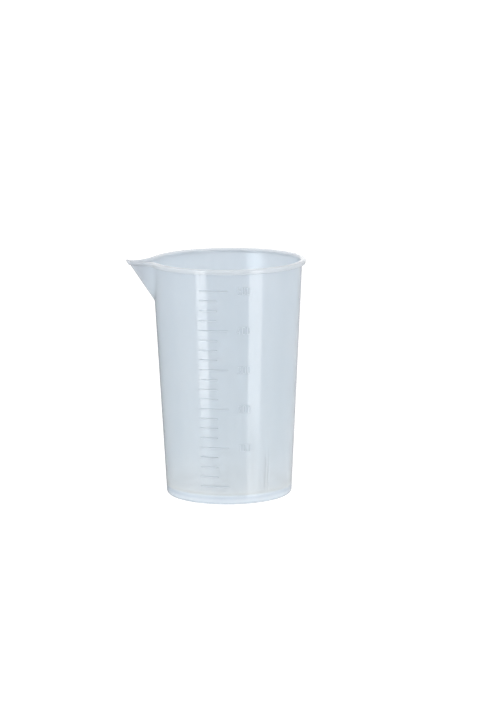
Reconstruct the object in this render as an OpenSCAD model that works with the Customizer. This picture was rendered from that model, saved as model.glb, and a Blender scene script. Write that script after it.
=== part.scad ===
// Graduated mixing cup with a pouring spout, moulded in natural polypropylene.
// It stands on Z = 0 with its axis on Z. The spout points along -X and the scale faces -Y.

/* [Body] */
// Height from the bench to the top of the rim
cup_h = 133; // [120:0.5:150]
// Outer diameter of the wall, carried down to the bench
base_d = 70.4; // [68:0.2:72]
// Outer diameter of the wall, carried up to the top of the rim
mouth_d = 84; // [82:0.2:88]
// Thickness of the side wall and of the spout
wall_t = 1.2; // [0.8:0.1:1.6]

/* [Floor and foot] */
// Height of the inside floor above the bench
floor_z = 6.4; // [5.6:0.1:8]
// Thickness of the floor
floor_t = 1.4; // [1:0.1:2]
// Radius inside, where the floor meets the wall
floor_fillet = 1.5; // [0.8:0.1:3]
// Thickness of the foot ring
foot_t = 2.6; // [2.4:0.1:4]
// Radius of the outer bottom edge
foot_round = 1.7; // [0.6:0.1:2]
// Diameter of the gate mark under the floor
gate_d = 4; // [2:0.5:6]
// Height of the gate mark
gate_h = 0.5; // [0.3:0.1:0.8]

/* [Rim] */
// Height of the rolled lip, measured down from the top of the rim
lip_h = 2.8; // [2.4:0.1:4]
// Thickness of the lip's outer leg
lip_t = 1.1; // [0.8:0.1:1.5]
// Gap between the lip's leg and the wall
lip_gap = 0.75; // [0.5:0.05:1.2]
// Thickness of the web over the gap
lip_web = 1.2; // [0.8:0.1:1.4]
// Radius of the two top edges of the rim
lip_round = 1.1; // [0.4:0.1:1.3]
// Plain wall between the end of the lip and the joint with the side wall
rim_skirt = 1.2; // [0.8:0.1:3]

/* [Spout] */
// How far the spout carries the wall outwards at the top of the rim
spout_reach = 14.2; // [9:0.2:16]
// Height of the spout, measured down from the top of the rim
spout_h = 23.3; // [16:0.1:30]
// Outer radius of the spout's nose
spout_nose = 2; // [1.8:0.1:3]
// Radius of the hollow flanks between the nose and the wall
spout_hollow = 20; // [15:0.5:30]
// Share of the lip's overhang that is left at the nose
spout_edge = 0.42; // [0.3:0.01:1]
// How far the rim sags on either side of the nose
spout_sag = 0.8; // [0:0.1:1]

/* [Scale] */
// Depth of the filling at the lowest mark
scale_low = 3.9; // [3:0.1:8]
// Wall left between the top mark and the top of the rim
scale_head = 12.1; // [10:0.1:20]
// Steps from one long mark to the next
steps_per_long = 4; // [2:1:5]
// Number of long marks
long_count = 6; // [3:1:6]
// Distance from the axis to the left end of the marks
scale_left = 15.8; // [13:0.1:20]
// Length of a short mark
short_len = 9.8; // [5:0.1:12]
// Length of a long mark
long_len = 15.8; // [13:0.1:18]
// Height of the ridge of a mark along the wall
mark_w = 0.6; // [0.4:0.05:1]
// How far the marks and figures stand out from the wall
mark_rise = 0.35; // [0.2:0.05:0.6]
// Share of the ridge's height that its crest keeps
mark_crest = 0.5; // [0.3:0.05:0.8]

/* [Figures] */
// Volume between two long marks, in millilitres
volume_step = 100; // [100:100:100]
// Height of the figures
figure_h = 4.4; // [3:0.1:4.4]
// Width of one figure
figure_w = 1.9; // [1.4:0.1:2.2]
// Gap between two figures
figure_gap = 0.75; // [0.65:0.05:1.2]
// Width of the stroke of a figure
stroke_w = 0.45; // [0.35:0.05:0.55]
// Gap from the end of a long mark to its figures
figure_inset = 5.4; // [2:0.1:7]

/* [Stacking ribs] */
// Number of ribs inside the wall that carry the foot of a nested cup
rib_count = 3; // [2:1:6]
// Height of a rib above the inside floor
rib_h = 20; // [16:0.5:30]
// Width of a rib
rib_w = 2; // [1.2:0.1:3]
// How far a rib stands out from the wall at its top
rib_depth = 2.4; // [2.2:0.1:3.5]
// Angle of the first rib, from the front towards the right
rib_angle = 36; // [0:1:60]

/* [Hidden] */
$fn = 144;

base_r = base_d / 2;
mouth_r = mouth_d / 2;
wall_slope = (mouth_r - base_r) / cup_h;
floor_under = floor_z - floor_t;
rim_z = cup_h - lip_h - rim_skirt;
spout_z = cup_h - spout_h;
spout_angle = 180;
front_angle = -90;
mark_count = steps_per_long * (long_count - 1) + 1;
scale_z = floor_z + scale_low;
scale_step = (cup_h - scale_head - scale_z) / (mark_count - 1);
natural_pp = [0.80, 0.84, 0.88];
pp_ridge = [0.74, 0.79, 0.84];
hair = 0.01;          // figures clear the cone by this much, because their facets sag below it
toe = 0.1;            // floor that a rib keeps in front of the fillet
arc_steps = 6;        // straight pieces in a quarter round of a section
spout_stations = 20;  // stations from the spout's centre line to either side
spout_levels = 12;    // levels of the spout's wall
station_power = 1.5;  // how strongly the stations crowd towards the nose
spout_margin = 3;     // angle of plain wall beside the spout's flanks

// Outer and inner radius of the plain wall at height z
function wall_r(z) = base_r + wall_slope * z;
function inner_r(z) = wall_r(z) - wall_t;

// Points on an arc about c, from angle a0 to a1
function arc(c, r, a0, a1, steps = arc_steps) =
    [for (i = [0:steps]) let (a = a0 + (a1 - a0) * i / steps) c + r * [cos(a), sin(a)]];

// Inside fillet between the floor and the wall, from the floor upwards
fillet_z = floor_z + floor_fillet;
fillet_r = inner_r(fillet_z) - floor_fillet;
fillet_arc = arc([fillet_r, fillet_z], floor_fillet, -90, 0);

// The level section of the spout is a round nose with a hollow arc on either side of it.
// Each arc touches the nose and the wall. Here x runs along the spout and y to its side.
function nose_x(z) =
    wall_r(z) + spout_reach * max(0, min(1, (z - spout_z) / spout_h)) - spout_nose;
// Centre of the hollow arc on the side of positive y
function hollow_c(z) =
    let (a = wall_r(z) + spout_hollow, b = spout_nose + spout_hollow, d = nose_x(z),
         x = (a * a - b * b + d * d) / (2 * d))
    [x, sqrt(max(0, a * a - x * x))];
// Angles of the outward normal where the arc touches the wall and the nose
function wall_touch(z) = let (c = hollow_c(z)) atan2(c[1], c[0]);
function nose_touch(z) = let (c = hollow_c(z)) atan2(c[1], c[0] - nose_x(z));
spout_half = wall_touch(cup_h) + spout_margin;

// Point of the section at height z, at share u of the way from the tip to the joint with the
// ring, moved outwards by out
function flank_point(u, z, out) =
    let (c = hollow_c(z), a = wall_touch(z), b = nose_touch(z),
         nose_l = spout_nose * b, hollow_l = spout_hollow * (b - a),
         wall_l = wall_r(z) * (spout_half - a), t = u * (nose_l + hollow_l + wall_l))
    t < nose_l
        ? let (n = t / spout_nose) [nose_x(z), 0] + (spout_nose + out) * [cos(n), sin(n)]
    : t < nose_l + hollow_l
        ? let (n = b - (t - nose_l) / spout_hollow) c - (spout_hollow - out) * [cos(n), sin(n)]
        : let (n = a + (t - nose_l - hollow_l) / wall_r(z)) (wall_r(z) + out) * [cos(n), sin(n)];
// The same on both sides, with u from -1 to 1, in the cup's own frame
function spout_point(u, z, out) =
    let (p = flank_point(abs(u), z, out), x = p[0], y = sign(u) * p[1])
    [x * cos(spout_angle) - y * sin(spout_angle), x * sin(spout_angle) + y * cos(spout_angle), z];
stations = [for (i = [-spout_stations:spout_stations])
    sign(i) * pow(abs(i) / spout_stations, station_power)];

// Section of the rim, as [distance out from the wall's outer face, height].
// The hollow under the lip reaches up to gap_z.
lip_out = lip_gap + lip_t;
lip_end = cup_h - lip_h;
gap_top = cup_h - lip_web - lip_gap / 2;
gap_closed = lip_end + lip_t / 2;
function rim_section(gap_z) = concat(
    [[0, rim_z], [-wall_t, rim_z]],
    arc([lip_round - wall_t, cup_h - lip_round], lip_round, 180, 90),
    arc([lip_out - lip_round, cup_h - lip_round], lip_round, 90, 0),
    arc([lip_out - lip_t / 2, gap_closed], lip_t / 2, 0, -180),
    arc([lip_gap / 2, gap_z], lip_gap / 2, 0, 180));

// Faces of a tube of rings with n points each; the two ends are closed
function tube_faces(rings, n) = concat(
    [[for (j = [0:n - 1]) j]],
    [for (i = [0:rings - 2], j = [0:n - 1]) let (a = i * n + j, b = i * n + (j + 1) % n)
        each [[a, a + n, b], [b, a + n, b + n]]],
    [[for (j = [n - 1:-1:0]) (rings - 1) * n + j]]);
// The same for a tube that closes on itself
function loop_faces(rings, n) =
    [for (i = [0:rings - 1], j = [0:n - 1])
        let (k = (i + 1) % rings, b = (j + 1) % n)
        each [[i * n + j, k * n + j, i * n + b], [i * n + b, k * n + j, k * n + b]]];

// Ring sector from angle a0 to a1, with the section given by its children
module sector(a0, a1) {
    rotate([0, 0, a0])
        rotate_extrude(angle = a1 - a0)
            children();
}

// Space that the spout takes out of a ring
module spout_window(low, high) {
    sector(spout_angle - spout_half, spout_angle + spout_half)
        translate([0, low])
            square([mouth_d, high - low]);
}

// Tapered wall between the foot and the rim, with a window for the spout
module side_wall() {
    color(natural_pp)
        difference() {
            rotate_extrude()
                polygon([[wall_r(floor_under), floor_under], [wall_r(rim_z), rim_z],
                         [inner_r(rim_z), rim_z], [inner_r(floor_under), floor_under]]);
            spout_window(spout_z, cup_h);
        }
}

// Raised floor that closes the wall, with its inside fillet and the gate mark
module floor() {
    color(natural_pp) {
        rotate_extrude()
            polygon(concat(
                fillet_arc,
                [[inner_r(floor_under), floor_under], [0, floor_under], [0, floor_z]]));
        translate([0, 0, floor_under - gate_h])
            cylinder(h = gate_h, d = gate_d);
    }
}

// Ring that the cup stands on, below the floor
module foot_ring() {
    inside = wall_r(0) - foot_t;
    edge = wall_r(foot_round) - foot_round;
    color(natural_pp)
        rotate_extrude()
            polygon(concat(
                [[inside, floor_under], [inside, 0]],
                arc([edge, foot_round], foot_round, -90, 0),
                [[wall_r(floor_under), floor_under]]));
}

// Rolled rim round the mouth, except where the spout is
module rim() {
    color(natural_pp)
        sector(spout_angle + spout_half, spout_angle - spout_half + 360)
            polygon([for (p = rim_section(gap_top)) [wall_r(p[1]) + p[0], p[1]]]);
}

// Wall of the spout, which leaves the side wall smoothly and narrows to a beak
module spout_wall() {
    levels = [for (i = [0:spout_levels]) spout_z + (rim_z - spout_z) * i / spout_levels];
    points = [for (u = stations) each concat(
        [for (z = levels) spout_point(u, z, 0)],
        [for (i = [spout_levels:-1:0]) spout_point(u, levels[i], -wall_t)])];
    color(natural_pp)
        polyhedron(points, tube_faces(len(stations), 2 * len(levels)));
}

// Rolled rim carried round the beak. Towards the nose its overhang narrows and the hollow
// under it closes, and on either side of the nose it sags a little.
module spout_lip() {
    points = [for (u = stations)
        let (full = pow(sin(90 * abs(u)), 2),
             gap_z = gap_closed + (gap_top - gap_closed) * full,
             overhang = spout_edge + (1 - spout_edge) * full,
             sag = spout_sag * pow(sin(180 * sqrt(abs(u))), 2) / (cup_h - rim_z))
        for (p = rim_section(gap_z))
            spout_point(u, p[1], p[0] > 0 ? p[0] * overhang : p[0])
                - [0, 0, sag * (p[1] - rim_z)]];
    color(natural_pp)
        polyhedron(points, tube_faces(len(stations), len(rim_section(gap_top))));
}

// Raised line on the wall at height z, from the scale's left end over a length
module mark(z, length) {
    half = mark_w / 2;
    crest = half * mark_crest;
    a0 = asin(-scale_left / wall_r(z));
    a1 = asin((length - scale_left) / wall_r(z));
    sector(front_angle + a0, front_angle + a1)
        polygon([[wall_r(z - half), z - half],
                 [wall_r(z) + mark_rise, z - crest],
                 [wall_r(z) + mark_rise, z + crest],
                 [wall_r(z + half), z + half]]);
}

function mark_z(i) = scale_z + i * scale_step;
function is_long(i) = i % steps_per_long == 0;

module long_marks() {
    color(pp_ridge)
        for (i = [0:mark_count - 1])
            if (is_long(i))
                mark(mark_z(i), long_len);
}

module short_marks() {
    color(pp_ridge)
        for (i = [0:mark_count - 1])
            if (!is_long(i))
                mark(mark_z(i), short_len);
}

// Centre lines of the strokes of a figure, in a box of width w and height h
function figure_strokes(d, w, h) =
    d == 0 ? [concat(arc([w / 2, h - w / 2], w / 2, 180, 0),
                     arc([w / 2, w / 2], w / 2, 0, -180))] :
    d == 1 ? [[[0.2 * w, 0.8 * h], [0.6 * w, h], [0.6 * w, 0]]] :
    d == 2 ? [concat(arc([w / 2, h - w / 2], w / 2, 170, -30), [[0, 0], [w, 0]])] :
    d == 3 ? [concat(arc([w / 2, 0.76 * h], 0.24 * h, 150, -80),
                     arc([w / 2, 0.27 * h], 0.27 * h, 80, -150))] :
    d == 4 ? [[[0.55 * w, h], [0, 0.3 * h], [w, 0.3 * h]],
              [[0.72 * w, 0.6 * h], [0.72 * w, 0]]] :
             [concat([[0.95 * w, h], [0.1 * w, h], [0.02 * w, 0.53 * h]],
                     arc([0.45 * w, 0.31 * h], 0.31 * h, 105, -140))];
function is_loop(d) = d == 0;

// Unit vector square to the path at point i
function side_at(path, i, closed) =
    let (n = len(path),
         before = closed ? path[(i + n - 1) % n] : path[max(0, i - 1)],
         after = closed ? path[(i + 1) % n] : path[min(n - 1, i + 1)],
         d = (after - before) / norm(after - before))
    [-d[1], d[0]];

// Point of the wall at distance x round it from the start angle, at height z, raised by rise
function on_wall(start, x, z, rise) =
    let (a = front_angle + start + x / wall_r(z) * 180 / PI)
    [(wall_r(z) + rise) * cos(a), (wall_r(z) + rise) * sin(a), z];

// Raised stroke along a path on the wall
module stroke(path, start, low, closed) {
    half = stroke_w / 2;
    points = [for (i = [0:len(path) - 1])
        let (p = path[i], s = side_at(path, i, closed) * half)
        each [on_wall(start, p[0] + s[0], low + p[1] + s[1], hair),
              on_wall(start, p[0] - s[0], low + p[1] - s[1], hair),
              on_wall(start, p[0] - s[0], low + p[1] - s[1], mark_rise),
              on_wall(start, p[0] + s[0], low + p[1] + s[1], mark_rise)]];
    polyhedron(points, closed ? loop_faces(len(path), 4) : tube_faces(len(path), 4));
}

// One figure, with its left edge at distance x from the first one's
module figure(d, start, x, low) {
    for (path = figure_strokes(d, figure_w - stroke_w, figure_h - stroke_w))
        stroke([for (p = path) p + [x, stroke_w / 2]], start, low, is_loop(d));
}

// Volume at each long mark above the lowest, in plain figures
module figures() {
    color(pp_ridge)
        for (i = [1:long_count - 1]) {
            z = mark_z(i * steps_per_long);
            start = asin((long_len - scale_left + figure_inset) / wall_r(z));
            digits = [floor(i * volume_step / 100), 0, 0];
            for (k = [0:2])
                figure(digits[k], start, k * (figure_w + figure_gap), z - figure_h / 2);
        }
}

// Upright ribs in the corner of the floor and the wall. A nested cup stands on their tops
// before its wall can jam.
module stacking_ribs() {
    top = floor_z + rib_h;
    face = inner_r(top) - rib_depth;
    half = asin(rib_w / 2 / inner_r(top));
    color(natural_pp)
        for (i = [0:rib_count - 1]) {
            middle = front_angle + rib_angle + i * 360 / rib_count;
            sector(middle - half, middle + half)
                polygon(concat(
                    [[inner_r(top), top], [face, top], [min(face, fillet_r - toe), floor_z]],
                    fillet_arc));
        }
}

side_wall();
floor();
foot_ring();
rim();
spout_wall();
spout_lip();
long_marks();
short_marks();
figures();
stacking_ribs();
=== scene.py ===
# Graduated mixing cup, one moulding in natural polypropylene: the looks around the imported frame.
# Sizes are in millimetres unless a name says otherwise, and meshes are turned to metres last.
import math

import bpy
import numpy as np
from mathutils import Matrix, Vector


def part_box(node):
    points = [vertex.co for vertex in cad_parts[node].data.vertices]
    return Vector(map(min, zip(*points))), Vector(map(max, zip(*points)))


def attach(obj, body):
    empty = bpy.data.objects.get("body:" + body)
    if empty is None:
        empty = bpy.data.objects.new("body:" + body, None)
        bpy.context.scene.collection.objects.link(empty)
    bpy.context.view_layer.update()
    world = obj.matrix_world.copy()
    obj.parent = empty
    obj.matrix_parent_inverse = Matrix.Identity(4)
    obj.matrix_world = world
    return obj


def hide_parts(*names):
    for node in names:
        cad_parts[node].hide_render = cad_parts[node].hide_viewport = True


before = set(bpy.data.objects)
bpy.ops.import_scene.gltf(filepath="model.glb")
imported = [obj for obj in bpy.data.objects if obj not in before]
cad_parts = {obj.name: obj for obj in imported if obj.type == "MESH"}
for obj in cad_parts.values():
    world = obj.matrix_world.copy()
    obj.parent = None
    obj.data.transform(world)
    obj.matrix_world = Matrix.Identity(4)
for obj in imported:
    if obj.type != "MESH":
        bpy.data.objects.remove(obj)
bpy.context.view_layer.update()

# Camera. It stands in front of the scale, a little above the rim, and looks slightly down.
# A long lens keeps the sides of the cup almost parallel.
CAMERA_PLACE_M = (0.0, -1.6519, 0.3777)
CAMERA_YAW = math.radians(0.231)
CAMERA_PITCH = math.radians(10.372)
CAMERA_ROLL = math.radians(-0.469)
SENSOR_HEIGHT = 36.0
LENS = 149.25
CLIP_END_M = 50.0


def camera_turn(yaw, pitch, roll):
    """Rotation of a camera that looks along +Y.

    It is turned right by yaw, then down by pitch, and then about its own line of sight by roll.
    """
    ahead = Vector((math.sin(yaw) * math.cos(pitch), math.cos(yaw) * math.cos(pitch), -math.sin(pitch)))
    level = Vector((math.cos(yaw), -math.sin(yaw), 0.0))
    right = level * math.cos(roll) + level.cross(ahead) * math.sin(roll)
    return Matrix((right, right.cross(ahead), -ahead)).transposed()


camera_data = bpy.data.cameras.new("camera")
camera_data.sensor_fit = "VERTICAL"
camera_data.sensor_height = SENSOR_HEIGHT
camera_data.lens = LENS
camera_data.clip_end = CLIP_END_M
camera = bpy.data.objects.new("camera", camera_data)
camera.location = CAMERA_PLACE_M
camera.rotation_euler = camera_turn(CAMERA_YAW, CAMERA_PITCH, CAMERA_ROLL).to_euler()
bpy.context.scene.collection.objects.link(camera)
bpy.context.scene.camera = camera

# Studio. A wide light table of opal acrylic stands under an even white sky, with one soft light
# overhead. Lit white cards, which the camera never sees, give the plastic its gloss bands.
TABLE_HALF_M = 12.0
TABLE_GLOW = 1.0
TABLE_ROUGHNESS = 0.8
TABLE_TONES = ("646464", "606060")
TABLE_DRIFT_M = 0.333          # width of its patches of drifting shade
SKY_COLOUR = "fbfcff"
SKY_STRENGTH = 0.85
LOW_SKY_STRENGTH = 0.5         # below the horizon, where the cup's sides mirror it
# Dim patches of the low sky, behind the cup on either side: direction of the middle, cosines of
# the angles from it at which the patch begins and is darkest, and the strength there.
DIM_PATCHES = (((-0.75, 0.66, 0.0), 0.38, 0.9, 0.08), ((0.42, 0.91, 0.0), 0.6, 0.95, 0.5))
LOW_SKY_END = (-0.17, -0.06)   # rise of a line of sight at which the low sky begins to fade and is gone
TOP_LIGHT_W = 1.5
TOP_LIGHT_SIZE_M = 1.6
TOP_LIGHT_PLACE_M = (-0.3, -0.5, 1.9)
# A flag stands edge-on to the front on either side of the middle, close to the wall. It is as bright
# as the low sky, and keeps the bright cards out of the gloss along the cup's edge in side views.
FLAG_X_M = 0.005
FLAG_OUTLINE_M = ((-0.0359, -0.03), (-0.062, -0.03), (-0.062, 0.18), (-0.0472, 0.18))   # Y and Z
WHITE = (1.0, 1.0, 1.0, 1.0)
MIX_A, MIX_B, MIX_RESULT = 6, 7, 2   # numbers of a Mix node's colour sockets


def linear(hex_colour):
    """Linear red, green, blue and alpha of an sRGB hex colour such as "cfd8e0"."""
    srgb = np.array([int(hex_colour[i:i + 2], 16) for i in (0, 2, 4)]) / 255
    low, high = srgb / 12.92, ((srgb + 0.055) / 1.055) ** 2.4
    return (*np.where(srgb <= 0.04045, low, high).tolist(), 1.0)


def add_node(tree, kind, settings=None, links=None, numbered=None, **named):
    """Adds one node: settings are its own properties, and links are its inputs' sources.

    The other sockets' values are named, or numbered where several sockets share a name.
    """
    node = tree.nodes.new(kind)
    for name, value in (settings or {}).items():
        setattr(node, name, value)
    for name, value in named.items():
        node.inputs[name.replace("_", " ")].default_value = value
    for number, value in (numbered or {}).items():
        node.inputs[number].default_value = value
    for name, source in (links or {}).items():
        tree.links.new(source, node.inputs[name])
    return node


def new_material(name):
    """An empty node material and its tree, which the caller fills in."""
    material = bpy.data.materials.new(name)
    material.use_nodes = True
    material.node_tree.nodes.clear()
    return material, material.node_tree


def plain_mesh(name, points_m, faces, material):
    """Object at the origin with the given points in metres and faces."""
    mesh = bpy.data.meshes.new(name)
    mesh.from_pydata(points_m, [], faces)
    mesh.materials.append(material)
    piece = bpy.data.objects.new(name, mesh)
    bpy.context.scene.collection.objects.link(piece)
    return piece


def light_table():
    """Opal acrylic, lit from within: so even that it vanishes into the sky. From below it is open."""
    material, tree = new_material("opal acrylic light table")
    place = add_node(tree, "ShaderNodeTexCoord").outputs["Object"]
    drift = add_node(tree, "ShaderNodeTexNoise", links={"Vector": place},
                     Scale=1 / TABLE_DRIFT_M, Detail=2.0)
    shade = add_node(tree, "ShaderNodeMix", {"data_type": "RGBA"}, {"Factor": drift.outputs["Fac"]},
                     {MIX_A: linear(TABLE_TONES[0]), MIX_B: linear(TABLE_TONES[1])})
    acrylic = add_node(tree, "ShaderNodeBsdfPrincipled", links={"Base Color": shade.outputs[MIX_RESULT]},
                       Roughness=TABLE_ROUGHNESS, Emission_Color=WHITE, Emission_Strength=TABLE_GLOW)
    clear = add_node(tree, "ShaderNodeBsdfTransparent")
    below = add_node(tree, "ShaderNodeNewGeometry").outputs["Backfacing"]
    one_way = add_node(tree, "ShaderNodeMixShader",
                       links={"Fac": below, 1: acrylic.outputs["BSDF"], 2: clear.outputs["BSDF"]})
    add_node(tree, "ShaderNodeOutputMaterial", links={"Surface": one_way.outputs["Shader"]})
    return material


def glowing_card(axis, begin_m, begin_strength, end_m, end_strength):
    """Lit white card, whose strength changes evenly along an axis between two places, and not beyond."""
    material, tree = new_material("lit white card")
    place = add_node(tree, "ShaderNodeTexCoord").outputs["Object"]
    along = add_node(tree, "ShaderNodeSeparateXYZ", links={"Vector": place}).outputs[axis]
    glow = add_node(tree, "ShaderNodeMapRange", links={"Value": along}, From_Min=begin_m, From_Max=end_m,
                    To_Min=begin_strength, To_Max=end_strength)
    light = add_node(tree, "ShaderNodeEmission", links={"Strength": glow.outputs["Result"]}, Color=WHITE)
    add_node(tree, "ShaderNodeOutputMaterial", links={"Surface": light.outputs["Emission"]})
    material.cycles.emission_sampling = "NONE"
    return material


def even(strength):
    """Glow of a card whose strength is the same all over."""
    return "Z", 0.0, strength, 1.0, strength


def stand_up(outline_m, glow, through=False):
    """Stands a lit card in the studio: it shows only as gloss, or only through the plastic."""
    card = plain_mesh("card", outline_m, [(0, 1, 2, 3)], glowing_card(*glow))
    card.visible_camera = card.visible_diffuse = card.visible_shadow = False
    card.visible_glossy, card.visible_transmission = not through, through


def card_round_cup(bearing, width, distance_m, low_m, high_m, glow, through=False):
    """Upright card at a bearing from the front towards the right, as wide as an angle, in degrees."""
    edges = [math.radians(bearing + side * width / 2) for side in (-1, 1)]
    left, right = [(distance_m * math.sin(turn), -distance_m * math.cos(turn)) for turn in edges]
    stand_up([(*left, low_m), (*right, low_m), (*right, high_m), (*left, high_m)], glow, through)


half = TABLE_HALF_M
table = plain_mesh("studio_floor", [(-half, -half, 0), (half, -half, 0), (half, half, 0), (-half, half, 0)],
                   [(0, 1, 2, 3)], light_table())
table.visible_glossy = False

# The two bright bands, weaker towards the table.
card_round_cup(-35.3, 14.05, 0.13, -0.005, 0.18, ("Z", 0.0, 1.6, 0.034, 5.0))
card_round_cup(38.1, 19.0, 0.13, -0.03, 0.18, ("Z", 0.013, 2.8, 0.024, 4.4))
# The faint light beside them, which fades towards the cup's edges.
card_round_cup(-55.5, 54.0, 0.165, -0.04, 0.18, ("X", -0.162, 0.45, -0.09, 1.7))
card_round_cup(55.5, 54.0, 0.165, -0.04, 0.18, ("X", 0.162, 0.6, 0.09, 1.7))
# The gloss on the rim and the inside, from above and behind.
card_round_cup(165.0, 50.0, 0.6, 0.165, 0.26, even(1.35))
# The narrow strip of light that shows through the wall at the back.
card_round_cup(176.2, 2.2, 0.3, 0.072, 0.2, even(2.2), through=True)
for side in (-1, 1):
    stand_up([(side * FLAG_X_M, *point) for point in FLAG_OUTLINE_M], even(LOW_SKY_STRENGTH))

sky = bpy.data.worlds.new("white sky")
sky.use_nodes = True
backdrop = sky.node_tree.nodes["Background"]
backdrop.inputs["Color"].default_value = linear(SKY_COLOUR)
towards = add_node(sky.node_tree, "ShaderNodeTexCoord").outputs["Generated"]
patches = []
for middle, begins, darkest, strength in DIM_PATCHES:
    nearness = add_node(sky.node_tree, "ShaderNodeVectorMath", {"operation": "DOT_PRODUCT"}, {0: towards},
                        {1: middle})
    patch = add_node(sky.node_tree, "ShaderNodeMapRange", {"interpolation_type": "SMOOTHSTEP"},
                     {"Value": nearness.outputs["Value"]}, From_Min=begins, From_Max=darkest,
                     To_Min=LOW_SKY_STRENGTH, To_Max=strength)
    patches.append(patch.outputs["Result"])
low_sky = add_node(sky.node_tree, "ShaderNodeMath", {"operation": "MINIMUM"}, dict(enumerate(patches)))
rise = add_node(sky.node_tree, "ShaderNodeSeparateXYZ", links={"Vector": towards}).outputs["Z"]
high_sky = add_node(sky.node_tree, "ShaderNodeMapRange", {"interpolation_type": "SMOOTHSTEP"},
                    {"Value": rise}, From_Min=LOW_SKY_END[0], From_Max=LOW_SKY_END[1], To_Max=SKY_STRENGTH)
whole_sky = add_node(sky.node_tree, "ShaderNodeMath", {"operation": "MAXIMUM"},
                     {0: low_sky.outputs["Value"], 1: high_sky.outputs["Result"]})
sky.node_tree.links.new(whole_sky.outputs["Value"], backdrop.inputs["Strength"])
bpy.context.scene.world = sky

top_data = bpy.data.lights.new("top softbox", "AREA")
top_data.energy = TOP_LIGHT_W
top_data.size = TOP_LIGHT_SIZE_M
top_light = bpy.data.objects.new("top softbox", top_data)
top_light.location = TOP_LIGHT_PLACE_M
top_light.rotation_euler = Vector(TOP_LIGHT_PLACE_M).to_track_quat("Z", "Y").to_euler()
bpy.context.scene.collection.objects.link(top_light)
bpy.context.scene.view_settings.view_transform = "Standard"

# Moulded shell: floor, tapered wall, foot, rolled rim and spout in one skin of natural
# polypropylene. The real cup is injected through the gate under its floor in one shot.
MM = 0.001


def corners(node):
    """Lowest and highest corner of a node of the frame, in millimetres."""
    return [np.array(corner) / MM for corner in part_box(node)]


WALL_T = 1.2
FLOOR_FILLET = 1.5
FOOT_T = 2.6
FOOT_ROUND = 1.7
FOOT_EDGE = 0.4          # round of the foot's inner bottom edge
RECESS_FILLET = 0.8      # corner between the foot and the underside of the floor
GATE_R = 2.0
GATE_ROUND = 0.15
GATE_DIMPLE_R = 1.1
GATE_DIMPLE = 0.25
GATE_NUB_R = 0.45        # torn end of the sprue, in the middle of the dimple
GATE_NUB_SPREAD = 0.2
GATE_NUB_SHOULDER = 0.1
GATE_NUB_TIP = 0.02
LIP_H = 2.8
LIP_T = 1.1
LIP_GAP = 0.75           # hollow between the lip and the wall
LIP_WEB = 1.2
LIP_ROUND = 1.1
SPOUT_REACH = 14.2
SPOUT_NOSE = 2.0
SPOUT_HOLLOW = 20.0
SPOUT_EDGE = 0.42        # share of the lip's overhang that is left at the nose
SPOUT_SAG = 0.8
SPOUT_MARGIN = 3.0       # degrees of plain wall beside the spout's flanks
KEEL_ROUND = 1.0         # height over which the keel bends out of the wall
NOSE_GAP = 0.03          # what is left of the hollow under the lip at the nose
RIB_COUNT = 3
RIB_W = 2.0
RIB_ANGLE = 36.0         # bearing of the first rib, in degrees from the front towards the right
SINK_DEPTH = 0.18        # the wall shrinks into a fine valley over either side of a rib
SINK_HALF_W = 0.4
SINK_LOW_FADE = 3.0      # height over which the valleys begin, above the floor's underside
SINK_TOP_FADE = 4.0      # height over which they end
SINK_PAST_RIB = 1.0      # how far above the rib they are gone

CUP_H = corners("rim")[1][2]
RIM_Z = corners("side_wall")[1][2]
FLOOR_UNDER = corners("side_wall")[0][2]
FLOOR_Z = corners("stacking_ribs")[0][2]
RIB_TOP = corners("stacking_ribs")[1][2]
SPOUT_Z = corners("spout_wall")[0][2]
GATE_Z = corners("floor")[0][2]    # the gate mark is the lowest thing on the floor
WALL_SLOPE = (corners("side_wall")[1][0] - corners("foot_ring")[1][0]) / (RIM_Z - FLOOR_UNDER)
BASE_R = corners("foot_ring")[1][0] - WALL_SLOPE * FLOOR_UNDER
LIP_OUT = LIP_GAP + LIP_T
GAP_TOP = CUP_H - LIP_WEB - LIP_GAP / 2
GAP_CLOSED = CUP_H - LIP_H + LIP_T / 2

ARC_STEPS = 9
LEVELS_BELOW = 18        # rows of the wall below the spout, where its keel bends out, and beside it
LEVELS_IN_BEND = 5
LEVELS_BESIDE = 17
FLOOR_RINGS = 7
UNDER_RINGS = 6
RIM_ROWS_INSIDE = (1.0, 2.0)   # rows of the plain wall above its joint with the rim
RIM_ROW_OUTSIDE = 0.7
FOOT_ROW_INSIDE = 2.0
SPOUT_STATIONS = 44      # columns from the spout's centre line to either side
STATION_POWER = 1.5      # how strongly they crowd towards the nose
RING_COLUMNS = 216       # columns of the rest of the ring
RIB_COLUMNS = 41         # extra columns over each rib
RIB_COLUMNS_REACH = 1.3  # how far they reach from its middle, in widths of the rib
RIB_COLUMNS_CLEAR = 0.6  # degrees kept free of other columns about each of them


def wall_r(z):
    """Radius of the wall's outer face at height z: a cone, so the foot's radius plus the slope times z."""
    return BASE_R + WALL_SLOPE * z


def arc(centre, radius, start, stop, steps=ARC_STEPS):
    """Points on a circle about centre, the radius times cosine and sine, from start to stop in degrees."""
    angle = np.radians(np.linspace(start, stop, steps + 1))
    return np.stack([centre[0] + radius * np.cos(angle), centre[1] + radius * np.sin(angle)], 1)


def from_radius(points):
    """Turns (distance from the axis, height) into (distance out from the wall's outer face, height)."""
    points = np.atleast_2d(np.array(points, float))
    return np.stack([points[:, 0] - wall_r(points[:, 1]), points[:, 1]], 1)


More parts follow.
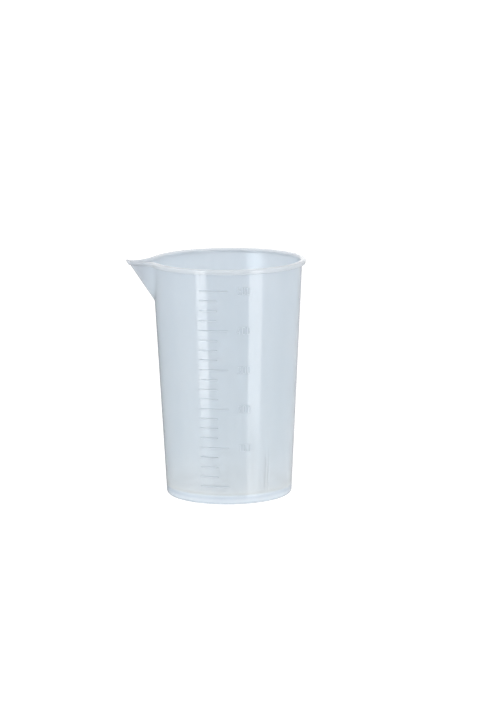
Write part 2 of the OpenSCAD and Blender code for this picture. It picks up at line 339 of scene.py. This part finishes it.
def wall_levels():
    """Heights of the wall's rows from the floor's fillet to the rim, closest where the keel bends."""
    below = np.linspace(FLOOR_Z + FLOOR_FILLET, SPOUT_Z - KEEL_ROUND, LEVELS_BELOW)
    bend = np.linspace(SPOUT_Z - KEEL_ROUND, SPOUT_Z + KEEL_ROUND, LEVELS_IN_BEND)
    beside = np.linspace(SPOUT_Z + KEEL_ROUND, RIM_Z, LEVELS_BESIDE)
    return np.concatenate([below, bend[1:], beside[1:]])


def shell_section():
    """Closed outline of the shell, as points of (distance out from the wall's outer face, height).

    It runs from the middle of the floor up the inside, over the rim, down the outside, round the
    foot and back to the middle below. Straight lines are joined by arcs, and the gate mark is last.
    """
    levels = wall_levels()
    fillet_z = FLOOR_Z + FLOOR_FILLET
    fillet_r = wall_r(fillet_z) - WALL_T - FLOOR_FILLET
    inside = wall_r(0) - FOOT_T
    edge = wall_r(FOOT_ROUND) - FOOT_ROUND
    floor_r = np.linspace(0, fillet_r, FLOOR_RINGS + 1)[:-1]
    under_r = np.linspace(inside - RECESS_FILLET, GATE_R + GATE_ROUND, UNDER_RINGS + 1)[1:]
    parts = [
        from_radius(np.stack([floor_r, np.full(FLOOR_RINGS, FLOOR_Z)], 1)),
        from_radius(arc((fillet_r, fillet_z), FLOOR_FILLET, -90, 0)),
        np.stack([np.full(len(levels) - 1, -WALL_T), levels[1:]], 1),
        [[-WALL_T, RIM_Z + row] for row in RIM_ROWS_INSIDE],
        arc((LIP_ROUND - WALL_T, CUP_H - LIP_ROUND), LIP_ROUND, 180, 90),
        arc((LIP_OUT - LIP_ROUND, CUP_H - LIP_ROUND), LIP_ROUND, 90, 0),
        arc((LIP_OUT - LIP_T / 2, GAP_CLOSED), LIP_T / 2, 0, -180),
        arc((LIP_GAP / 2, GAP_TOP), LIP_GAP / 2, 0, 180),
        [[0.0, RIM_Z + RIM_ROW_OUTSIDE]],
        np.stack([np.zeros(len(levels)), levels[::-1]], 1),
        [[0.0, FLOOR_UNDER], [0.0, 2 * FOOT_ROUND]],
        from_radius(arc((edge, FOOT_ROUND), FOOT_ROUND, 0, -90)),
        from_radius(arc((inside + FOOT_EDGE, FOOT_EDGE), FOOT_EDGE, -90, -180, 4)),
        from_radius([[inside, FOOT_ROW_INSIDE]]),
        from_radius(arc((inside - RECESS_FILLET, FLOOR_UNDER - RECESS_FILLET), RECESS_FILLET, 0, 90, 5)),
        from_radius(np.stack([under_r, np.full(UNDER_RINGS, FLOOR_UNDER)], 1)),
        from_radius(arc((GATE_R, GATE_Z + GATE_ROUND), GATE_ROUND, 0, -90, 3)),
        from_radius([[GATE_DIMPLE_R, GATE_Z], [GATE_NUB_R + GATE_NUB_SPREAD, GATE_Z + GATE_DIMPLE],
                     [GATE_NUB_R, GATE_Z + GATE_NUB_SHOULDER], [0.0, GATE_Z + GATE_NUB_TIP]]),
    ]
    return np.concatenate([np.array(part, float) for part in parts])


def touch_angle(z):
    """Angle from the spout's centre line at which the hollow arc meets the ring, by the law of cosines.

    The triangle joins the cup's axis, the nose's centre and the hollow's centre. The keel has no bend here.
    """
    far, near = wall_r(z) + SPOUT_HOLLOW, SPOUT_NOSE + SPOUT_HOLLOW
    nose_x = wall_r(z) + SPOUT_REACH - SPOUT_NOSE
    return math.acos((far ** 2 - near ** 2 + nose_x ** 2) / (2 * nose_x * far))


SPOUT_HALF = touch_angle(CUP_H) + math.radians(SPOUT_MARGIN)


def spout_wall_point(share, z, out):
    """Point of the spout's level section at height z, at a share of the way from nose to plain ring.

    A round nose, a hollow arc and a piece of the ring touch each other. The point lies at its share of
    their length together, and is moved outwards by out. Along the spout is x, and y is beside it.
    """
    radius = wall_r(z)
    rise = z - SPOUT_Z
    bend = np.clip(rise + KEEL_ROUND, 0, None) ** 2 / (4 * KEEL_ROUND)
    reach = SPOUT_REACH * np.where(rise < KEEL_ROUND, bend, rise) / (CUP_H - SPOUT_Z)
    nose_x = radius + reach - SPOUT_NOSE
    far, near = radius + SPOUT_HOLLOW, SPOUT_NOSE + SPOUT_HOLLOW
    centre_x = (far ** 2 - near ** 2 + nose_x ** 2) / (2 * nose_x)
    centre_y = np.sqrt(np.clip(far ** 2 - centre_x ** 2, 0, None))
    wall_touch = np.arctan2(centre_y, centre_x)
    nose_touch = np.arctan2(centre_y, centre_x - nose_x)
    nose_l = SPOUT_NOSE * nose_touch
    hollow_l = SPOUT_HOLLOW * (nose_touch - wall_touch)
    way = np.abs(share) * (nose_l + hollow_l + radius * (SPOUT_HALF - wall_touch))
    on_nose, on_hollow = way < nose_l, way < nose_l + hollow_l
    turn = np.where(on_nose, way / SPOUT_NOSE,
                    np.where(on_hollow, nose_touch - (way - nose_l) / SPOUT_HOLLOW,
                             wall_touch + (way - nose_l - hollow_l) / radius))
    reach_out = np.where(on_nose, SPOUT_NOSE + out, np.where(on_hollow, out - SPOUT_HOLLOW, radius + out))
    x = np.where(on_nose, nose_x, np.where(on_hollow, centre_x, 0)) + reach_out * np.cos(turn)
    y = np.where(on_nose | ~on_hollow, 0, centre_y) + reach_out * np.sin(turn)
    return x, np.sign(share) * y


def rib_bearings():
    """Bearings of the ribs, in degrees from the front towards the right: even steps of a full turn."""
    return RIB_ANGLE + np.arange(RIB_COUNT) * 360 / RIB_COUNT


def sink(bearing, z):
    """Depth of the shrinkage over the ribs: a bell-shaped valley over either side, as high as the rib."""
    away = (bearing[..., None] - rib_bearings() + 180) % 360 - 180
    beside = np.abs(np.radians(away) * wall_r(z)[..., None]) - RIB_W / 2
    valleys = np.exp(-(beside / SINK_HALF_W) ** 2).sum(-1)
    low_fade = np.clip((z - FLOOR_UNDER) / SINK_LOW_FADE, 0, 1)
    top_fade = np.clip((RIB_TOP + SINK_PAST_RIB - z) / SINK_TOP_FADE, 0, 1)
    return SINK_DEPTH * valleys * low_fade * top_fade


def spout_grid(out, z):
    """Columns of the shell round the spout, from one flank over the nose to the other.

    Towards the nose the lip's overhang narrows and the hollow under it closes, both as a squared sine of
    the share, and the rim sags on either side as a squared sine of its root.
    """
    steps = np.arange(-SPOUT_STATIONS, SPOUT_STATIONS + 1)
    share = (np.sign(steps) * np.abs(steps / SPOUT_STATIONS) ** STATION_POWER)[None]
    full = np.sin(np.pi / 2 * np.abs(share)) ** 2
    in_hollow = np.isclose(np.hypot(out - LIP_GAP / 2, z - GAP_TOP), LIP_GAP / 2)
    closed_z = z + in_hollow * (GAP_CLOSED + NOSE_GAP - GAP_TOP) * (1 - full)
    overhang = SPOUT_EDGE + (1 - SPOUT_EDGE) * full
    x, y = spout_wall_point(share, closed_z, np.where((out > 0) & (z > RIM_Z), out * overhang, out))
    sag = SPOUT_SAG * np.sin(np.pi * np.sqrt(np.abs(share))) ** 2 / (CUP_H - RIM_Z)
    return np.stack([-x, y, closed_z - sag * np.clip(closed_z - RIM_Z, 0, None)], 2)


def ring_grid(out, z):
    """Columns of the plain ring, a circle about the axis, with extra ones over the ribs in it."""
    over_rib = np.linspace(-1, 1, RIB_COLUMNS) * RIB_COLUMNS_REACH * RIB_W / wall_r(RIB_TOP)
    near_ribs = (np.radians(270 - rib_bearings()[:2])[:, None] + over_rib).ravel()
    turn = np.linspace(SPOUT_HALF, 2 * np.pi - SPOUT_HALF, RING_COLUMNS + 1)[1:-1]
    turn = turn[np.abs(turn[:, None] - near_ribs).min(1) > math.radians(RIB_COLUMNS_CLEAR)]
    turn = np.sort(np.concatenate([turn, near_ribs]))[None]
    radius = wall_r(z) + out - np.where(out == 0, sink(270 - np.degrees(turn), z + 0 * turn), 0)
    return np.stack([-radius * np.cos(turn), radius * np.sin(turn), np.broadcast_to(z, radius.shape)], 2)


def skin(points):
    """Vertices and faces of a grid whose rows close on themselves, and whose two end rows are poles.

    Each cell of the grid is a face of four sides, and a fan of triangles joins each pole to its nearest row.
    """
    index = np.arange((len(points) - 2) * points.shape[1]).reshape(len(points) - 2, -1)
    after = np.roll(index, -1, 1)
    quads = np.stack([index[:-1], after[:-1], after[1:], index[1:]], 2).reshape(-1, 4)
    first, last = index.size, index.size + 1
    fans = [[first, b, a] for a, b in zip(index[0], after[0])]
    fans += [[last, a, b] for a, b in zip(index[-1], after[-1])]
    vertices = np.concatenate([points[1:-1].reshape(-1, 3), points[0, :1], points[-1, :1]])
    return vertices, quads.tolist() + fans


def moulded_piece(name, vertices, faces, material):
    """Smooth object at the origin, from points in millimetres."""
    piece = plain_mesh(name, (np.asarray(vertices) * MM).tolist(), faces, material)
    piece.data.polygons.foreach_set("use_smooth", np.ones(len(faces), bool))
    return piece


CLOUD_W = 38.46          # width of the faint clouds in its milkiness
WAVE_W = 14.29           # width of the slow waves that uneven shrinkage leaves
GRAIN_W = 0.3846         # width of the mould's grain, drawn as coarse as it needs to show
WAVE_DEPTH = 0.2
BUMP_STRENGTH = 0.3
CLOUD_RANGE = (0.3, 0.7) # of the noise, from the thinnest cloud to the thickest
CLOUD_SHARE = 0.12       # how much of the clouds' colour the thickest of them take
CLOUD_COLOUR = "f4f7fa"
GLOSS_ROUGHNESS = (0.07, 0.10)
SPOUT_SHADE_COLOUR = "b9bdc4"   # painted shade in the spout's nose and along its keel, for the dark edge that refraction gives there
NOSE_SHADE_PLACES = (42.0, 47.5)     # distances in front of the axis between which the painted shade of the nose sets in
KEEL_SHADE_PLACES = (1.5, 0.7)       # distances beside the keel between which the painted shade grows to its full depth
SHADE_BESIDE_KEEL = 0.6              # share of the painted shade beside it
FOOT_LEVELS = (4.5, 8.5)       # heights between which the foot gives way to the clearer wall
FOOT_CLEAR = 0.8               # how clear the foot is, as a share of the wall
LEAST_DEPTH = 0.1              # stands in for a depth of nought, which the shader can't take
# The colour at a few heights: the cup's own bluish tone, with painted light and shade in it. The darkest
# stop at the bottom edge is a painted contact shade, and the dark and light bands on the foot are painted
# shade and a painted highlight. The wall is painted lighter low down and at the rim's top, to make up for
# the shade towards the bottom and in the thick rim.
SHELL_COLOURS_WITH_PAINTED_LIGHT = (
    (0.0, "b6c2cc"), (1.5, "d5dee6"), (2.6, "d5dde5"), (3.6, "c9d3dc"), (4.6, "d3dce5"), (5.4, "eaf4fb"),
    (12.0, "e6f1f9"), (28.0, "dde9f2"), (129.8, "ced9e3"), (131.2, "dce4eb"), (CUP_H, "e1e8ee"),
)


def natural_polypropylene(name, grain_depth, haze_depth, clear, colours):
    """Natural polypropylene, injection moulded: milky, lets soft light through, and has a satin gloss.

    Its colour follows the height as colours gives it, and is a little lighter in faint clouds. It is
    darker in the spout's nose and along its keel, which is painted shade. Light spreads inside it over
    haze_depth. The share clear of what meets its face from outside goes straight in, and all that meets
    the face from within comes out. Grain and slow waves bend the gloss.
    """
    material, tree = new_material(name)
    place = add_node(tree, "ShaderNodeTexCoord").outputs["Object"]
    along, beside, height = add_node(tree, "ShaderNodeSeparateXYZ", links={"Vector": place}).outputs

    # The height ramp carries the painted light and shade held in the colours it is given.
    up = add_node(tree, "ShaderNodeMapRange", links={"Value": height}, From_Max=CUP_H * MM)
    tone = add_node(tree, "ShaderNodeValToRGB", links={"Fac": up.outputs["Result"]})
    stops = tone.color_ramp.elements
    stops[0].color, stops[1].color = linear(colours[0][1]), linear(colours[-1][1])
    for level, colour in colours[1:-1]:
        stops.new(level / CUP_H).color = linear(colour)
    cloud = add_node(tree, "ShaderNodeTexNoise", links={"Vector": place},
                     Scale=1 / (CLOUD_W * MM), Detail=3.0, Roughness=0.5)
    haze = add_node(tree, "ShaderNodeMapRange", links={"Value": cloud.outputs["Fac"]},
                    From_Min=CLOUD_RANGE[0], From_Max=CLOUD_RANGE[1], To_Max=CLOUD_SHARE)
    milk = add_node(tree, "ShaderNodeMix", {"data_type": "RGBA"},
                    {"Factor": haze.outputs["Result"], MIX_A: tone.outputs["Color"]},
                    {MIX_B: linear(CLOUD_COLOUR)})
    # Painted shade: the spout's nose and a line along its keel are darkened, for the dark that refraction
    # gives there.
    nose = add_node(tree, "ShaderNodeMapRange", links={"Value": along},
                    From_Min=-NOSE_SHADE_PLACES[0] * MM, From_Max=-NOSE_SHADE_PLACES[1] * MM)
    off_keel = add_node(tree, "ShaderNodeMath", {"operation": "ABSOLUTE"}, {0: beside})
    keel = add_node(tree, "ShaderNodeMapRange", {"interpolation_type": "SMOOTHSTEP"},
                    {"Value": off_keel.outputs["Value"]},
                    From_Min=KEEL_SHADE_PLACES[0] * MM, From_Max=KEEL_SHADE_PLACES[1] * MM, To_Min=SHADE_BESIDE_KEEL)
    spout_shade = add_node(tree, "ShaderNodeMath", {"operation": "MULTIPLY"},
                    {0: nose.outputs["Result"], 1: keel.outputs["Result"]})
    shade = add_node(tree, "ShaderNodeMix", {"data_type": "RGBA"},
                     {"Factor": spout_shade.outputs["Value"], MIX_A: milk.outputs[MIX_RESULT]},
                     {MIX_B: linear(SPOUT_SHADE_COLOUR)})

    from_within = add_node(tree, "ShaderNodeNewGeometry").outputs["Backfacing"]
    from_outside = add_node(tree, "ShaderNodeMapRange", links={"Value": height},
                            From_Min=FOOT_LEVELS[0] * MM, From_Max=FOOT_LEVELS[1] * MM,
                            To_Min=FOOT_CLEAR * clear, To_Max=clear)
    through = add_node(tree, "ShaderNodeMapRange",
                       links={"Value": from_within, "To Min": from_outside.outputs["Result"]}, To_Max=1.0)

    gloss = add_node(tree, "ShaderNodeMapRange", links={"Value": cloud.outputs["Fac"]},
                     To_Min=GLOSS_ROUGHNESS[0], To_Max=GLOSS_ROUGHNESS[1])
    wave = add_node(tree, "ShaderNodeTexNoise", links={"Vector": place},
                    Scale=1 / (WAVE_W * MM), Detail=1.0)
    grain = add_node(tree, "ShaderNodeTexNoise", links={"Vector": place},
                     Scale=1 / (GRAIN_W * MM), Detail=2.0)
    slow = add_node(tree, "ShaderNodeBump", links={"Height": wave.outputs["Fac"]},
                    Strength=BUMP_STRENGTH, Distance=WAVE_DEPTH * MM)
    fine = add_node(tree, "ShaderNodeBump",
                    links={"Height": grain.outputs["Fac"], "Normal": slow.outputs["Normal"]},
                    Strength=BUMP_STRENGTH, Distance=grain_depth * MM)
    resin = add_node(tree, "ShaderNodeBsdfPrincipled",
                     links={"Base Color": shade.outputs[MIX_RESULT], "Roughness": gloss.outputs["Result"],
                            "Transmission Weight": through.outputs["Result"],
                            "Normal": fine.outputs["Normal"]},
                     IOR=1.49, Subsurface_Weight=1.0 if haze_depth else 0.0,
                     Subsurface_Radius=(1.0, 1.0, 1.0), Subsurface_Scale=max(haze_depth, LEAST_DEPTH) * MM)
    add_node(tree, "ShaderNodeOutputMaterial", links={"Surface": resin.outputs["BSDF"]})
    return material


section_out, section_z = [column[:, None] for column in shell_section().T]
shell_points = np.concatenate([spout_grid(section_out, section_z), ring_grid(section_out, section_z)], 1)
shell_plastic = natural_polypropylene("natural polypropylene, injection moulded", grain_depth=0.02,
                                      haze_depth=5.0, clear=0.26, colours=SHELL_COLOURS_WITH_PAINTED_LIGHT)
shell = moulded_piece("moulded_shell", *skin(shell_points), shell_plastic)
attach(shell, "root")
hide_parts("side_wall", "floor", "foot_ring", "rim", "spout_wall", "spout_lip")

# Raised marks: 21 rounded ridges that stand out from the wall, every fourth one long.
# They are grooves milled in the mould, so they are the same natural polypropylene.
MARK_W = 0.6
MARK_RISE = 0.35
MARK_SINK = 0.06         # how deep the ridges reach into the wall, so that no gap shows
SCALE_LEFT = 15.8        # distance of the marks' left end from the cup's middle plane
SHORT_LEN = 9.8
LONG_LEN = 15.8
STEPS_PER_LONG = 4
MARK_COUNT = 21
MARK_LOW = corners("long_marks")[0][2] + MARK_W / 2
MARK_HIGH = corners("long_marks")[1][2] - MARK_W / 2
CREST_STEPS = 10         # pieces over the crest of a ridge
END_STATIONS = 7         # stations in the round end of a ridge
MIDDLE_STATIONS = 14     # stations between them
MARK_COLOUR = "ced7df"


def mark_z(number):
    """Height of a mark, counted from the lowest: even steps between the lowest and the highest."""
    return MARK_LOW + (MARK_HIGH - MARK_LOW) * number / (MARK_COUNT - 1)


def length_along(path):
    """Length along a line up to each of its points: the sum of the pieces before it."""
    return np.concatenate([[0], np.cumsum(np.hypot(*np.diff(path, axis=0).T))])


def ridge(path, half_width, rise, closed=False):
    """Rounded ridge along a path on the unrolled wall, as rows of (way round, height, distance out).

    The path's points are (way round, height) from the ridge's own start. Its cross-section is half an
    ellipse, with a flat back sunk into the wall, and shrinks at the two ends as in a quarter circle.
    """
    before = np.roll(path, 1, 0) if closed else np.concatenate([path[:1], path[:-1]])
    after = np.roll(path, -1, 0) if closed else np.concatenate([path[1:], path[-1:]])
    ahead = after - before
    ahead /= np.hypot(*ahead.T)[:, None]
    side = np.stack([-ahead[:, 1], ahead[:, 0]], 1)
    way = length_along(path)
    into = np.clip(np.minimum(way, way[-1] - way) / half_width, 0, 1)
    size = np.ones(len(path)) if closed else np.sqrt(1 - (1 - into) ** 2)
    turn = np.linspace(0, np.pi, CREST_STEPS + 1)
    across = np.concatenate([np.cos(turn), [-1, 1]]) * half_width
    out = np.concatenate([np.sin(turn) * rise, [-MARK_SINK, -MARK_SINK]])
    flat = path[:, None] + side[:, None] * (size[:, None] * across)[..., None]
    return np.concatenate([flat, (size[:, None] * out)[..., None]], 2)


def on_wall(flat, start, height):
    """Bends rows of (way round, height, distance out) onto the cone, from angle start right of the front.

    The way round divided by the wall's radius is the angle, and the distance out is added to the radius.
    """
    z = height + flat[..., 1]
    turn = start + flat[..., 0] / wall_r(z)
    radius = wall_r(z) + flat[..., 2]
    return np.stack([radius * np.sin(turn), -radius * np.cos(turn), z], -1)


def straight(length, half_width):
    """Stations of a straight ridge, spaced in its round ends as on a quarter circle."""
    end = half_width * (1 - np.cos(np.linspace(0, np.pi / 2, END_STATIONS)))
    middle = np.linspace(half_width, length - half_width, MIDDLE_STATIONS)[1:-1]
    x = np.concatenate([end, middle, length - end[::-1]])
    return np.stack([x, np.zeros(len(x))], 1)


def loop_skin(points):
    """Vertices and faces of a grid whose rows and columns both close on themselves."""
    index = np.arange(points.shape[0] * points.shape[1]).reshape(points.shape[:2])
    next_row, next_column = np.roll(index, -1, 0), np.roll(index, -1, 1)
    both = np.roll(next_row, -1, 1)
    return points.reshape(-1, 3), np.stack([index, next_column, both, next_row], 2).reshape(-1, 4).tolist()


def joined(skins):
    """One list of vertices and faces from several: each one's faces count on from the vertices before it."""
    vertices, faces, count = [], [], 0
    for points, sides in skins:
        vertices.append(points)
        faces += [[corner + count for corner in face] for face in sides]
        count += len(points)
    return np.concatenate(vertices), faces


def mark(number, length):
    """Ridge of one mark: seen from the front it starts at the scale's left end and is as long as length."""
    z = mark_z(number)
    start = math.asin(-SCALE_LEFT / wall_r(z))
    angle = math.asin((length - SCALE_LEFT) / wall_r(z)) - start
    flat = ridge(straight(angle * wall_r(z), MARK_W / 2), MARK_W / 2, MARK_RISE)
    return skin(on_wall(flat, start, z))


# The same plastic, without its depth: so thin a ridge shows as a plain pale line.
ridge_plastic = natural_polypropylene("natural polypropylene, raised marks", grain_depth=0.01,
                                      haze_depth=0.0, clear=0.0,
                                      colours=((0.0, MARK_COLOUR), (CUP_H, MARK_COLOUR)))
for name, node, length, numbers in (
        ("long_ridges", "long_marks", LONG_LEN, [i for i in range(MARK_COUNT) if i % STEPS_PER_LONG == 0]),
        ("short_ridges", "short_marks", SHORT_LEN, [i for i in range(MARK_COUNT) if i % STEPS_PER_LONG])):
    ridges = moulded_piece(name, *joined([mark(i, length) for i in numbers]), ridge_plastic)
    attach(ridges, "root")
    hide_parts(node)

# Raised figures: plain volumes in millilitres beside the long marks, in strokes of round section.
# They are engraved in the mould as the marks are, and come out in the same plastic.
FIGURE_H = 4.4
FIGURE_W = 1.9
FIGURE_GAP = 0.75
FIGURE_INSET = 5.4       # from the end of a long mark to its figures
STROKE_W = 0.45
FIGURE_RISE = 0.2
STATION_STEP = 0.1       # distance between the stations of a stroke
LEAST_STATIONS = 8


def stroke_paths(digit):
    """Centre lines of a digit's strokes in its box, straight or arcs, as points of (way round, height)."""
    w, h = FIGURE_W - STROKE_W, FIGURE_H - STROKE_W
    lines = {
        0: [np.concatenate([arc((w / 2, h - w / 2), w / 2, 180, 0, 16),
                            arc((w / 2, w / 2), w / 2, 0, -180, 16)])],
        1: [[[0.2 * w, 0.8 * h], [0.6 * w, h], [0.6 * w, 0]]],
        2: [np.concatenate([arc((w / 2, h - w / 2), w / 2, 170, -30, 16), [[0, 0], [w, 0]]])],
        3: [np.concatenate([arc((w / 2, 0.76 * h), 0.24 * h, 150, -80, 14),
                            arc((w / 2, 0.27 * h), 0.27 * h, 80, -150, 16)])],
        4: [[[0.55 * w, h], [0, 0.3 * h], [w, 0.3 * h]], [[0.72 * w, 0.6 * h], [0.72 * w, 0]]],
        5: [np.concatenate([[[0.95 * w, h], [0.1 * w, h], [0.02 * w, 0.53 * h]],
                            arc((0.45 * w, 0.31 * h), 0.31 * h, 105, -140, 18)])],
    }
    return [np.array(line, float) for line in lines[digit]]


def stations_along(path, closed):
    """The same line with a point at every even step of its length.

    In an open line each point then moves half-way to the middle of its neighbours, to ease the corners.
    """
    if closed:
        path = np.concatenate([path, path[:1]])
    way = length_along(path)
    even_way = np.linspace(0, way[-1], max(LEAST_STATIONS, round(way[-1] / STATION_STEP)) + 1)
    line = np.stack([np.interp(even_way, way, path[:, 0]), np.interp(even_way, way, path[:, 1])], 1)
    if closed:
        return line[:-1]
    line[1:-1] = (line[:-2] + 2 * line[1:-1] + line[2:]) / 4
    return line


def figure(digit, place, start, z):
    """Skins of one digit's strokes, at its place in the row of figures that starts at angle start.

    Each place is a figure's width and a gap further on. Only the stroke of 0 closes on itself.
    """
    foot = np.array([place * (FIGURE_W + FIGURE_GAP), (STROKE_W - FIGURE_H) / 2])
    closed = digit == 0
    flats = [ridge(stations_along(path, closed) + foot, STROKE_W / 2, FIGURE_RISE, closed)
             for path in stroke_paths(digit)]
    return [(loop_skin if closed else skin)(on_wall(flat, start, z)) for flat in flats]


figure_skins = []
for hundreds in range(1, (MARK_COUNT - 1) // STEPS_PER_LONG + 1):
    long_mark_z = mark_z(hundreds * STEPS_PER_LONG)
    figure_start = math.asin((LONG_LEN - SCALE_LEFT + FIGURE_INSET) / wall_r(long_mark_z))
    for place, digit in enumerate((hundreds, 0, 0)):
        figure_skins += figure(digit, place, figure_start, long_mark_z)
volume_figures = moulded_piece("volume_figures", *joined(figure_skins), ridge_plastic)
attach(volume_figures, "root")
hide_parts("figures")

# Stacking ribs: three upright ribs in the corner of the floor and the wall, with round edges.
# They are moulded with the cup, and carry the foot of a nested one so that it can't jam.
RIB_DEPTH = 2.4
RIB_EDGE = 0.6
RIB_SINK = 0.3           # how deep the rib's back reaches into the wall, and its foot into the floor
RIB_LEVELS = 9
RIB_NARROWING = 0.6      # how much of the rounding its sides take at the top
HAIR = 0.01              # rows and columns stay this far apart


def rib_points(bearing):
    """Grid of one rib: level outlines from below the floor's face to a rounded top, and a pole at each end.

    An outline is a bar with two round front corners, whose back follows the wall. At the top the face
    draws back and the sides draw in, as in a quarter circle.
    """
    back = wall_r(RIB_TOP) - WALL_T + RIB_SINK
    face = wall_r(RIB_TOP) - WALL_T - RIB_DEPTH
    turn = np.linspace(0, np.pi / 2, ARC_STEPS)
    levels = np.concatenate([np.linspace(FLOOR_Z - RIB_SINK, RIB_TOP - RIB_EDGE, RIB_LEVELS + 1)[:-1],
                             RIB_TOP - RIB_EDGE * (1 - np.sin(turn))])
    inset = np.concatenate([np.zeros(RIB_LEVELS), RIB_EDGE * (1 - np.cos(turn))])
    half_w, edge, half_way = RIB_W / 2, RIB_EDGE - HAIR, (back + face) / 2
    outline = np.concatenate([
        [[back, half_w], [half_way, half_w]],
        arc((face + edge, half_w - edge), edge, 90, 180, 7),
        arc((face + edge, edge - half_w), edge, 180, 270, 7),
        [[half_way, -half_w], [back, -half_w]],
    ])
    radial = np.maximum(outline[:, 0], face + inset[:, None])
    radial = np.where(outline[:, 0] > back - HAIR, wall_r(levels[:, None]) - WALL_T + RIB_SINK, radial)
    beside = outline[:, 1] * (1 - inset[:, None] / half_w * RIB_NARROWING)
    grid = np.stack([radial, beside, np.broadcast_to(levels[:, None], radial.shape)], 2)
    foot, top = [np.broadcast_to(row.mean(0), row.shape)[None] for row in (grid[0], grid[-1])]
    grid = np.concatenate([foot, grid, top])
    a = math.radians(bearing)
    return np.stack([grid[..., 0] * math.sin(a) + grid[..., 1] * math.cos(a),
                     -grid[..., 0] * math.cos(a) + grid[..., 1] * math.sin(a), grid[..., 2]], 2)


rib_skins = [skin(rib_points(bearing)) for bearing in rib_bearings()]
ribs = moulded_piece("nesting_ribs", *joined(rib_skins), shell_plastic)
ribs.visible_shadow = ribs.visible_diffuse = False    # plastic fused with the wall throws no shade on it
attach(ribs, "root")
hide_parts("stacking_ribs")
